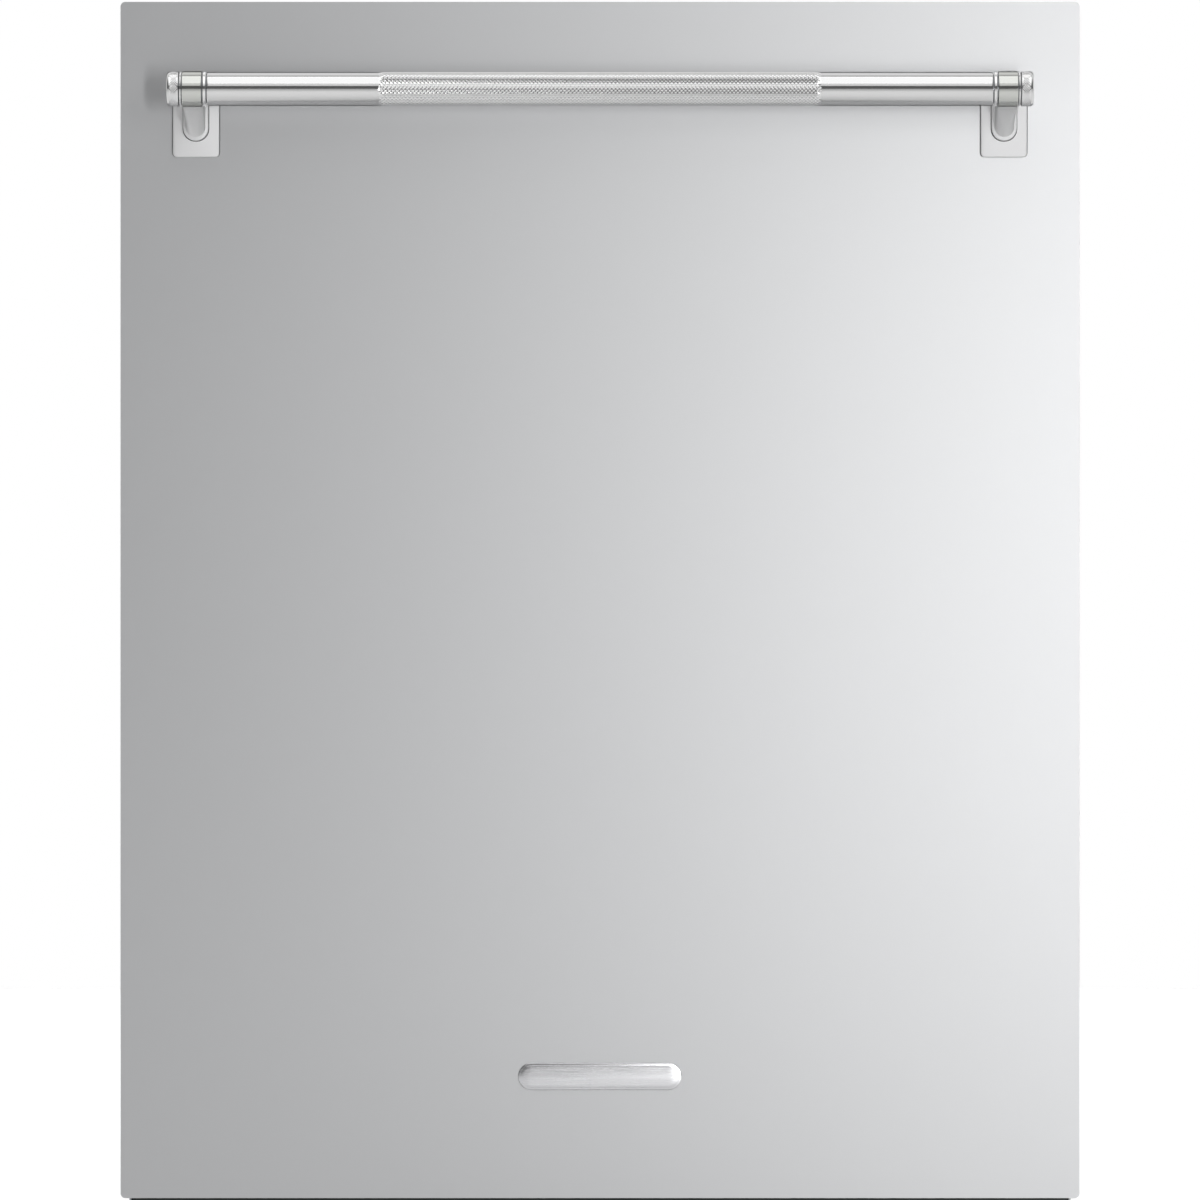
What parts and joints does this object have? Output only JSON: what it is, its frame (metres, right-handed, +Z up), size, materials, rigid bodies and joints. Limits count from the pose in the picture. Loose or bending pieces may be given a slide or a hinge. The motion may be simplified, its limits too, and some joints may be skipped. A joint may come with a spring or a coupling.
{
  "type": "built in dishwasher",
  "caption": "Built in dishwasher with a fold-down steel door, knurled bar handle, wire racks, spray arms, pumps and levelling feet.",
  "frame": {"origin": "on the floor, under the middle of the box around the whole machine", "axes": "+Z up, the door and handle face -Y, +X to the right seen from the front"},
  "size_m": [0.598, 0.626, 0.86],
  "materials": {
    "brushed_panel": "vertical fine brushed stainless sheet",
    "polished_steel": "polished stainless rings and caps",
    "grip_steel": "turned and knurled stainless",
    "satin_cast": "satin cast metal",
    "badge_chrome": "satin chromed",
    "zinc_sheet": "galvanised sheet",
    "tub_steel": "bright stainless sheet",
    "dark_plastic": "moulded, fine grain",
    "grey_plastic": "moulded, fine grain",
    "pale_plastic": "moulded",
    "light_plastic": "moulded",
    "board_green": "solder mask",
    "window_glass": "tinted window",
    "seal_rubber": "extruded seal",
    "felt": "needled felt",
    "side_paint": "galvanised, lightly coated",
    "spring_steel": "oiled spring wire",
    "screw_steel": "zinc plated",
    "rack_nylon": "nylon coated wire",
    "rack_handle": "moulded",
    "wheel_plastic": "moulded",
    "pump_grey": "moulded",
    "arm_steel": "pressed stainless",
    "filter_steel": "perforated stainless",
    "foot_plastic": "moulded"
  },
  "bodies": {
    "cabinet": {"hinge_brackets": "zinc_sheet", "balance_springs": "spring_steel", "base_tray": "dark_plastic", "toe_kick": "dark_plastic", "tub_wrap": "tub_steel", "tub_back": "tub_steel", "tub_floor": "tub_steel", "tub_gasket": "seal_rubber", "side_panel_left": "side_paint", "side_panel_right": "side_paint", "insulation_blanket": "felt", "worktop_brackets": "zinc_sheet", "sump": "grey_plastic", "filter_plate": "filter_steel", "softener_tank": "pale_plastic", "circulation_pump": "pump_grey", "drain_pump": "dark_plastic", "inlet_valve": "pale_plastic", "terminal_box": "dark_plastic", "spray_feed_pipe": "grey_plastic", "rack_rails": "arm_steel"},
    "door": {"front_panel": "brushed_panel", "door_frame": "zinc_sheet", "door_liner": "tub_steel", "door_lip_seal": "seal_rubber", "control_fascia": "dark_plastic", "display_window": "window_glass", "control_board": "board_green", "dispenser_body": "grey_plastic", "handle_bar": "grip_steel", "handle_bracket_left": "satin_cast", "handle_bracket_right": "satin_cast", "handle_collars": "polished_steel", "handle_end_caps": "grip_steel", "handle_screws": "screw_steel", "name_badge": "badge_chrome", "hinge_arms": "zinc_sheet"},
    "power_button": {"power_button": "light_plastic"},
    "programme_button": {"programme_button": "light_plastic"},
    "start_button": {"start_button": "light_plastic"},
    "dispenser_lid": {"dispenser_lid": "light_plastic"},
    "rinse_aid_cap": {"rinse_aid_cap": "rack_handle"},
    "latch_hook": {"latch_hook": "dark_plastic"},
    "filter_cup": {"filter_cup": "rack_handle"},
    "salt_cap": {"salt_cap": "rack_handle"},
    "lower_spray_arm": {"lower_spray_arm": "arm_steel"},
    "upper_spray_arm": {"upper_spray_arm": "arm_steel"},
    "upper_rack": {"upper_manifold": "grey_plastic", "upper_rack": "rack_nylon"},
    "upper_runners": {"upper_runners": "arm_steel"},
    "cup_shelf_left": {"cup_shelf_left": "rack_handle"},
    "cup_shelf_right": {"cup_shelf_right": "rack_handle"},
    "lower_rack": {"lower_rack": "rack_nylon"},
    "folding_tines": {"folding_tines": "rack_nylon"},
    "front_wheels": {"front_wheels": "wheel_plastic"},
    "rear_wheels": {"rear_wheels": "wheel_plastic"},
    "cutlery_tray": {"cutlery_tray": "rack_nylon"},
    "foot_front_left": {"foot_front_left": "foot_plastic"},
    "foot_front_right": {"foot_front_right": "foot_plastic"},
    "rear_feet": {"rear_feet": "foot_plastic"}
  },
  "joints": [
    {"name": "door_hinge", "type": "hinge", "parent": "cabinet", "child": "door", "pos_m": [0, -0.227, 0.122], "axis": [1, 0, 0], "range_deg": [0, 90]},
    {"name": "power_press", "type": "slide", "parent": "door", "child": "power_button", "axis": [0, 0, -1], "range_m": [0, 0.0015], "stiffness_N_per_m": 900, "springref_m": -0.0005},
    {"name": "programme_press", "type": "slide", "parent": "door", "child": "programme_button", "axis": [0, 0, -1], "range_m": [0, 0.0015], "stiffness_N_per_m": 900, "springref_m": -0.0005},
    {"name": "start_press", "type": "slide", "parent": "door", "child": "start_button", "axis": [0, 0, -1], "range_m": [0, 0.0015], "stiffness_N_per_m": 900, "springref_m": -0.0005},
    {"name": "dispenser_slide", "type": "slide", "parent": "door", "child": "dispenser_lid", "axis": [1, 0, 0], "range_m": [0, 0.084]},
    {"name": "rinse_cap_turn", "type": "hinge", "parent": "door", "child": "rinse_aid_cap", "pos_m": [0.05, -0.195, 0.448], "axis": [0, 1, 0], "range_deg": [0, 90]},
    {"name": "latch_swing", "type": "hinge", "parent": "cabinet", "child": "latch_hook", "pos_m": [0, -0.192, 0.85], "axis": [1, 0, 0], "range_deg": [0, 5.5], "stiffness_Nm_per_rad": 0.5, "springref_deg": -1.15},
    {"name": "filter_turn", "type": "hinge", "parent": "cabinet", "child": "filter_cup", "pos_m": [0.048, 0.005, 0.152], "axis": [0, 0, 1], "range_deg": [0, 90]},
    {"name": "salt_cap_turn", "type": "hinge", "parent": "cabinet", "child": "salt_cap", "pos_m": [-0.21, 0.15, 0.155], "axis": [0, 0, 1], "range_deg": [0, 360]},
    {"name": "lower_arm_spin", "type": "hinge", "parent": "cabinet", "child": "lower_spray_arm", "pos_m": [0, 0.04, 0.175], "axis": [0, 0, 1], "continuous": true},
    {"name": "upper_arm_spin", "type": "hinge", "parent": "upper_rack", "child": "upper_spray_arm", "pos_m": [0, 0.04, 0.488], "axis": [0, 0, 1], "continuous": true},
    {"name": "lower_rack_slide", "type": "slide", "parent": "cabinet", "child": "lower_rack", "axis": [0, -1, 0], "range_m": [0, 0.172]},
    {"name": "upper_rack_slide", "type": "slide", "parent": "cabinet", "child": "upper_rack", "axis": [0, -1, 0], "range_m": [0, 0.4505]},
    {"name": "upper_runner_slide", "type": "slide", "parent": "cabinet", "child": "upper_runners", "axis": [0, -1, 0], "range_m": [0, 0.2255]},
    {"name": "cutlery_tray_slide", "type": "slide", "parent": "cabinet", "child": "cutlery_tray", "axis": [0, -1, 0], "range_m": [0, 0.4505]},
    {"name": "front_wheel_roll", "type": "hinge", "parent": "lower_rack", "child": "front_wheels", "pos_m": [0, -0.095, 0.175], "axis": [1, 0, 0], "range_deg": [0, 548]},
    {"name": "rear_wheel_roll", "type": "hinge", "parent": "lower_rack", "child": "rear_wheels", "pos_m": [0, 0.195, 0.175], "axis": [1, 0, 0], "range_deg": [0, 548]},
    {"name": "cup_shelf_left_fold", "type": "hinge", "parent": "upper_rack", "child": "cup_shelf_left", "pos_m": [-0.229, 0, 0.608], "axis": [0, -1, 0], "range_deg": [0, 80]},
    {"name": "cup_shelf_right_fold", "type": "hinge", "parent": "upper_rack", "child": "cup_shelf_right", "pos_m": [0.229, 0, 0.608], "axis": [0, 1, 0], "range_deg": [0, 80]},
    {"name": "tines_fold", "type": "hinge", "parent": "lower_rack", "child": "folding_tines", "pos_m": [0, 0.07, 0.208], "axis": [1, 0, 0], "range_deg": [0, 80]},
    {"name": "foot_left_screw", "type": "slide", "parent": "cabinet", "child": "foot_front_left", "axis": [0, 0, -1], "range_m": [0, 0.03]},
    {"name": "foot_right_screw", "type": "slide", "parent": "cabinet", "child": "foot_front_right", "axis": [0, 0, -1], "range_m": [0, 0.03]},
    {"name": "rear_feet_screw", "type": "slide", "parent": "cabinet", "child": "rear_feet", "axis": [0, 0, -1], "range_m": [0, 0.03]}
  ],
  "couplings": [
    {"joint": "lower_rack_slide", "follows": "door_hinge", "m_per_rad": 0.10886},
    {"joint": "upper_rack_slide", "follows": "door_hinge", "m_per_rad": 0.28648},
    {"joint": "upper_runner_slide", "follows": "door_hinge", "m_per_rad": 0.14324},
    {"joint": "cutlery_tray_slide", "follows": "door_hinge", "m_per_rad": 0.28648},
    {"joint": "front_wheel_roll", "follows": "door_hinge", "ratio": 6.0476},
    {"joint": "rear_wheel_roll", "follows": "door_hinge", "ratio": 6.0476}
  ]
}
